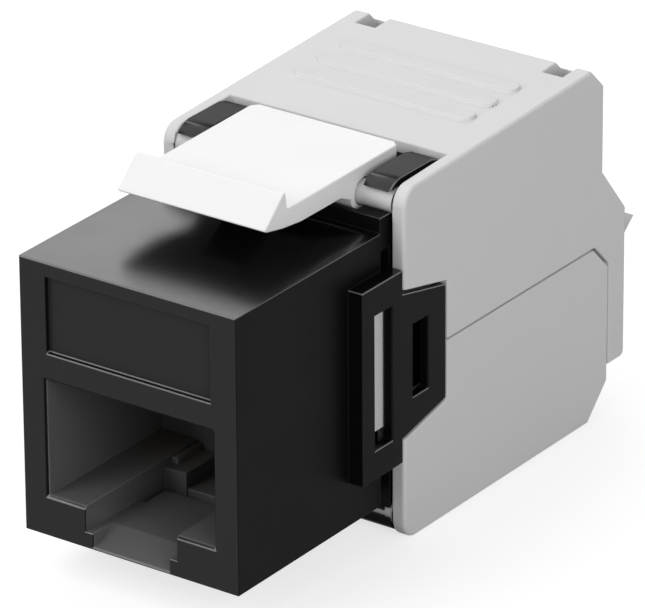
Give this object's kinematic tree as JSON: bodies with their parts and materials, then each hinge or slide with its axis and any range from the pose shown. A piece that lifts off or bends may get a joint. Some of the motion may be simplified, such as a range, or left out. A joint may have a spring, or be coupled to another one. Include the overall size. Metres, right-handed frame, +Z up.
{
  "type": "keystone jack",
  "caption": "Network socket insert with a keyed plug port, a rocking panel latch and two hinged rear covers that open like a clamshell over the wire blocks.",
  "frame": {"origin": "on the resting surface, under the middle of the whole jack", "axes": "+X is the jack's right seen from the plug side, +Y runs from the plug face back to the cable, +Z is up through the latch"},
  "size_m": [0.0164, 0.0376, 0.0227],
  "materials": {
    "black_plastic": "moulded black plastic with a soft satin sheen",
    "white_plastic": "moulded white plastic, satin",
    "grey_plastic": "moulded light grey plastic, fine grain",
    "natural_plastic": "moulded natural plastic",
    "board_laminate": "green lacquered laminate",
    "contact_gold": "gold plated wire",
    "blade_tin": "tin plated strip",
    "spring_steel": "bare spring strip"
  },
  "bodies": {
    "housing": {"front_housing": "black_plastic", "latch_spring": "spring_steel", "rear_chassis": "grey_plastic", "circuit_board": "board_laminate", "contact_carrier": "black_plastic", "wire_block_upper": "natural_plastic", "wire_block_lower": "natural_plastic", "contact_1": "contact_gold", "contact_2": "contact_gold", "contact_3": "contact_gold", "contact_4": "contact_gold", "contact_5": "contact_gold", "contact_6": "contact_gold", "contact_7": "contact_gold", "contact_8": "contact_gold", "idc_blade_1": "blade_tin", "idc_blade_2": "blade_tin", "idc_blade_3": "blade_tin", "idc_blade_4": "blade_tin", "idc_blade_5": "blade_tin", "idc_blade_6": "blade_tin", "idc_blade_7": "blade_tin", "idc_blade_8": "blade_tin"},
    "latch": {"latch_lever": "white_plastic"},
    "upper_flap": {"upper_cover": "grey_plastic"},
    "lower_flap": {"lower_cover": "grey_plastic"}
  },
  "joints": [
    {"name": "latch_press", "type": "hinge", "parent": "housing", "child": "latch", "pos_m": [0, -0.0037, 0.0202], "axis": [1, 0, 0], "range_deg": [0, 10], "stiffness_Nm_per_rad": 0.03, "springref_deg": -2.86, "deforming": ["latch_spring"]},
    {"name": "upper_cover_hinge", "type": "hinge", "parent": "housing", "child": "upper_flap", "pos_m": [0, -0.0037, 0.0202], "axis": [1, 0, 0], "range_deg": [0, 75]},
    {"name": "lower_cover_hinge", "type": "hinge", "parent": "housing", "child": "lower_flap", "pos_m": [0, -0.0037, 0.00144], "axis": [1, 0, 0], "range_deg": [-75, 0]}
  ],
  "couplings": [
    {"joint": "lower_cover_hinge", "follows": "upper_cover_hinge", "ratio": -1}
  ]
}
